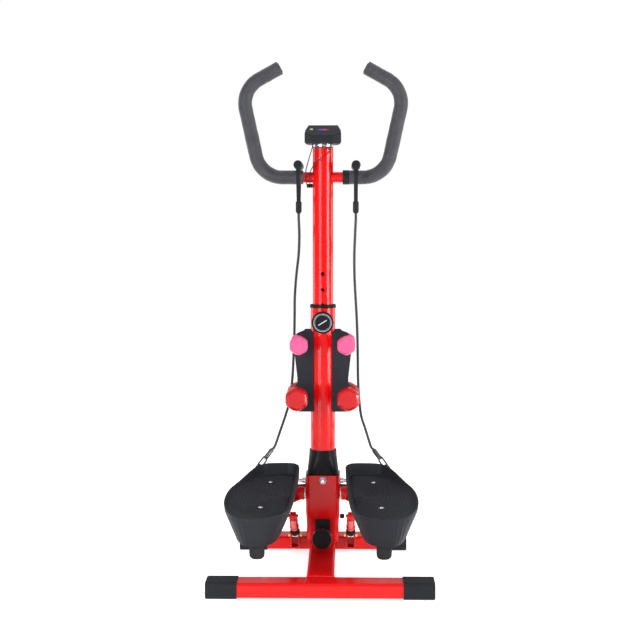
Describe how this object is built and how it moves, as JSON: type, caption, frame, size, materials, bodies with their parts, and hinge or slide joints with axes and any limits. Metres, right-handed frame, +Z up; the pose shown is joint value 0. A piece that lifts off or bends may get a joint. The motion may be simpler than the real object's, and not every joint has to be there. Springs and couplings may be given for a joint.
{
  "type": "stepper",
  "caption": "Mini stepper with swinging pedals on hydraulic dampers, telescoping mast with horn handlebar and console, rope handles and a dumbbell rack",
  "frame": {"origin": "on the floor, under the middle of the base", "axes": "+Z up, +X to the user's right, +Y from the user towards the mast"},
  "size_m": [0.48, 0.474, 1.1565],
  "materials": {
    "red_paint": "glossy powder coat over tube",
    "cap_plastic": "moulded, light texture",
    "sleeve_plastic": "moulded, satin",
    "knob_plastic": "moulded, semi-gloss",
    "pedal_plastic": "moulded with a ribbed tread",
    "rack_plastic": "moulded, satin",
    "console_plastic": "moulded, fine texture",
    "handle_plastic": "moulded, semi-gloss",
    "foam": "closed-cell foam, matt",
    "rubber": "matt",
    "rope": "braided cover over elastic",
    "wire": "insulated lead",
    "bright_steel": "zinc plated",
    "gold_steel": "yellow passivated",
    "hook_steel": "plated wire",
    "dark_steel": "black coat",
    "chrome": "polished rod",
    "screen": "dark display window",
    "button": "soft touch",
    "pink_vinyl": "vinyl dip over cast iron",
    "red_vinyl": "vinyl dip over cast iron"
  },
  "bodies": {
    "base": {"near_crossbar": "red_paint", "near_cap_left": "cap_plastic", "near_cap_right": "cap_plastic", "far_crossbar": "red_paint", "far_cap_left": "cap_plastic", "far_cap_right": "cap_plastic", "spine_tube": "red_paint", "column": "red_paint", "column_sleeve": "sleeve_plastic", "lower_mast": "red_paint", "mast_collar": "sleeve_plastic", "pin_housing": "red_paint", "front_bolt": "bright_steel", "cross_bolt": "bright_steel", "pivot_axle": "bright_steel", "cadence_sensor": "knob_plastic", "tension_plate": "knob_plastic", "rack_plate_left": "rack_plastic", "rack_plate_right": "rack_plastic", "damper_bracket_left": "red_paint", "damper_bracket_right": "red_paint", "damper_bolt_left": "gold_steel", "damper_bolt_right": "gold_steel", "rope_left": "rope", "rope_right": "rope"},
    "mast_top": {"upper_mast": "red_paint", "handlebar": "red_paint", "grip_left": "foam", "grip_right": "foam", "console_bracket": "bright_steel", "console_shell": "console_plastic", "console_screen": "screen", "pulse_wire": "wire", "sensor_wire": "wire", "rope_handle_left": "handle_plastic", "rope_handle_right": "handle_plastic"},
    "pull_pin": {"pin_knob": "knob_plastic"},
    "console_button": {"mode_button": "button"},
    "pedal_assembly_right": {"pedal_arm_right": "red_paint", "pedal_right": "pedal_plastic", "pedal_screw_right_toe": "bright_steel", "pedal_screw_right_heel": "bright_steel", "bumper_right": "rubber", "rope_hook_right": "hook_steel"},
    "pedal_assembly_left": {"pedal_arm_left": "red_paint", "pedal_left": "pedal_plastic", "pedal_screw_left_toe": "bright_steel", "pedal_screw_left_heel": "bright_steel", "bumper_left": "rubber", "rope_hook_left": "hook_steel"},
    "rocker_bar": {"rocker": "dark_steel"},
    "damper_rod_unit_right": {"damper_rod_right": "chrome"},
    "damper_cylinder_unit_right": {"damper_cylinder_right": "red_paint"},
    "damper_rod_unit_left": {"damper_rod_left": "chrome"},
    "damper_cylinder_unit_left": {"damper_cylinder_left": "red_paint"},
    "tension_screw": {"tension_knob": "knob_plastic"},
    "pink_weight_left": {"pink_dumbbell_left": "pink_vinyl"},
    "pink_weight_right": {"pink_dumbbell_right": "pink_vinyl"},
    "red_weight_left": {"red_dumbbell_left": "red_vinyl"},
    "red_weight_right": {"red_dumbbell_right": "red_vinyl"}
  },
  "joints": [
    {"name": "mast_height", "type": "slide", "parent": "base", "child": "mast_top", "axis": [0, 0, 1], "range_m": [-0.111, 0.074], "deforming": ["rope_left", "rope_right"]},
    {"name": "pin_pull", "type": "slide", "parent": "base", "child": "pull_pin", "axis": [0, -1, 0], "range_m": [0, 0.012], "stiffness_N_per_m": 500, "springref_m": -0.01},
    {"name": "button_press", "type": "slide", "parent": "mast_top", "child": "console_button", "axis": [0, 0.3606, -0.9327], "range_m": [0, 0.001], "stiffness_N_per_m": 400, "springref_m": -0.001},
    {"name": "right_pedal_swing", "type": "hinge", "parent": "base", "child": "pedal_assembly_right", "pos_m": [0, 0.15, 0.145], "axis": [1, 0, 0], "range_deg": [-5.8, 5.8]},
    {"name": "left_pedal_swing", "type": "hinge", "parent": "base", "child": "pedal_assembly_left", "pos_m": [0, 0.15, 0.145], "axis": [1, 0, 0], "range_deg": [-5.8, 5.8]},
    {"name": "rocker_tilt", "type": "hinge", "parent": "base", "child": "rocker_bar", "pos_m": [0, 0.216, 0.145], "axis": [0, 1, 0], "range_deg": [-5.2, 5.2]},
    {"name": "right_damper_pivot", "type": "hinge", "parent": "base", "child": "damper_rod_unit_right", "pos_m": [0.066, 0.158, 0.0445], "axis": [1, 0, 0], "range_deg": [-3.6, 3.6]},
    {"name": "right_damper_stroke", "type": "slide", "parent": "damper_rod_unit_right", "child": "damper_cylinder_unit_right", "axis": [0, -0.8672, 0.498], "range_m": [-0.0085, 0.0085]},
    {"name": "left_damper_pivot", "type": "hinge", "parent": "base", "child": "damper_rod_unit_left", "pos_m": [-0.066, 0.158, 0.0445], "axis": [1, 0, 0], "range_deg": [-3.6, 3.6]},
    {"name": "left_damper_stroke", "type": "slide", "parent": "damper_rod_unit_left", "child": "damper_cylinder_unit_left", "axis": [0, -0.8672, 0.498], "range_m": [-0.0085, 0.0085]},
    {"name": "tension_turn", "type": "hinge", "parent": "base", "child": "tension_screw", "pos_m": [0, 0.02, 0.0647], "axis": [0, 1, 0], "range_deg": [-720, 720]},
    {"name": "pink_left_lift_out", "type": "slide", "parent": "base", "child": "pink_weight_left", "axis": [-0.766, 0, 0.6428], "range_m": [0, 0.12]},
    {"name": "pink_right_lift_out", "type": "slide", "parent": "base", "child": "pink_weight_right", "axis": [0.766, 0, 0.6428], "range_m": [0, 0.12]},
    {"name": "red_left_lift_out", "type": "slide", "parent": "base", "child": "red_weight_left", "axis": [-0.766, 0, 0.6428], "range_m": [0, 0.12]},
    {"name": "red_right_lift_out", "type": "slide", "parent": "base", "child": "red_weight_right", "axis": [0.766, 0, 0.6428], "range_m": [0, 0.12]}
  ],
  "couplings": [
    {"joint": "left_pedal_swing", "follows": "right_pedal_swing", "ratio": -1},
    {"joint": "rocker_tilt", "follows": "right_pedal_swing", "ratio": -0.892},
    {"joint": "right_damper_pivot", "follows": "right_pedal_swing", "ratio": 0.614},
    {"joint": "right_damper_stroke", "follows": "right_pedal_swing", "m_per_rad": -0.0832},
    {"joint": "left_damper_pivot", "follows": "right_pedal_swing", "ratio": -0.614},
    {"joint": "left_damper_stroke", "follows": "right_pedal_swing", "m_per_rad": 0.0832}
  ]
}
